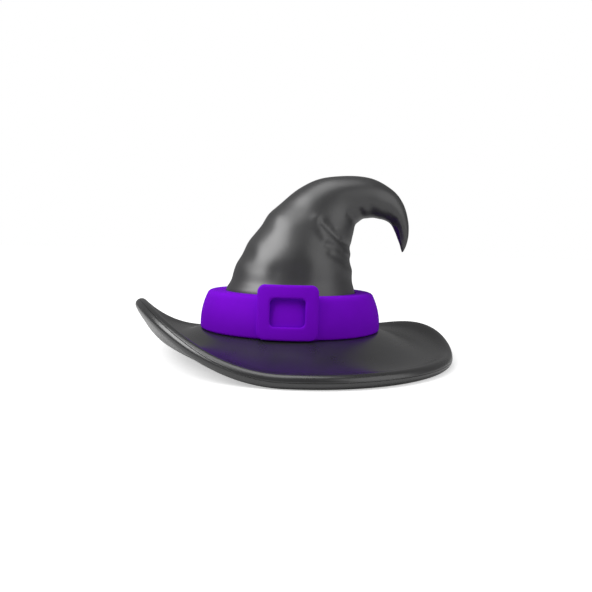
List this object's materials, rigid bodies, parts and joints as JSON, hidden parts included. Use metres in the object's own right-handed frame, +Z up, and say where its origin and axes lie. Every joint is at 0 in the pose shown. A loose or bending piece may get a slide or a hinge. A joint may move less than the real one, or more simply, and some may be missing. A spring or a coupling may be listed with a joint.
{
  "type": "witch hat",
  "caption": "Wide-brimmed witch hat in moulded foam, with a swept brim, a creased crown whose hooked tip bends, and a thick buckled band.",
  "frame": {"origin": "centre of the head opening, in the plane of the brim's underside there", "axes": "+Z up through the crown, -Y forward through the buckle, +X towards the side that the crown's tip hooks over"},
  "size_m": [0.3816, 0.3852, 0.216],
  "materials": {
    "charcoal_foam": "satin",
    "purple_foam": "matte",
    "core_foam": "matte",
    "spring_wire": "satin",
    "crimped_aluminium": "satin",
    "sweatband_cloth": "matte",
    "black_plastic": "matte",
    "purple_plastic": "matte"
  },
  "bodies": {
    "hat": {"brim_upper_ply": "charcoal_foam", "brim_lower_ply": "charcoal_foam", "brim_edge_wire": "spring_wire", "brim_wire_ferrule": "crimped_aluminium", "crown_cone": "charcoal_foam", "crown_plug": "core_foam", "crown_crook": "charcoal_foam", "armature_root": "crimped_aluminium", "armature_bend": "crimped_aluminium", "sweatband": "sweatband_cloth", "collar_hoop": "black_plastic", "hat_band": "purple_foam", "buckle_frame": "purple_foam", "buckle_pins": "purple_plastic"},
    "tip": {"crown_hook": "charcoal_foam", "hook_core": "core_foam", "armature_tip": "crimped_aluminium"}
  },
  "joints": [
    {"name": "tip_bend", "type": "hinge", "parent": "hat", "child": "tip", "pos_m": [0.0585, 0, 0.16675], "axis": [0, 1, 0], "range_deg": [-25, 20], "deforming": ["crown_crook", "armature_bend"]}
  ]
}
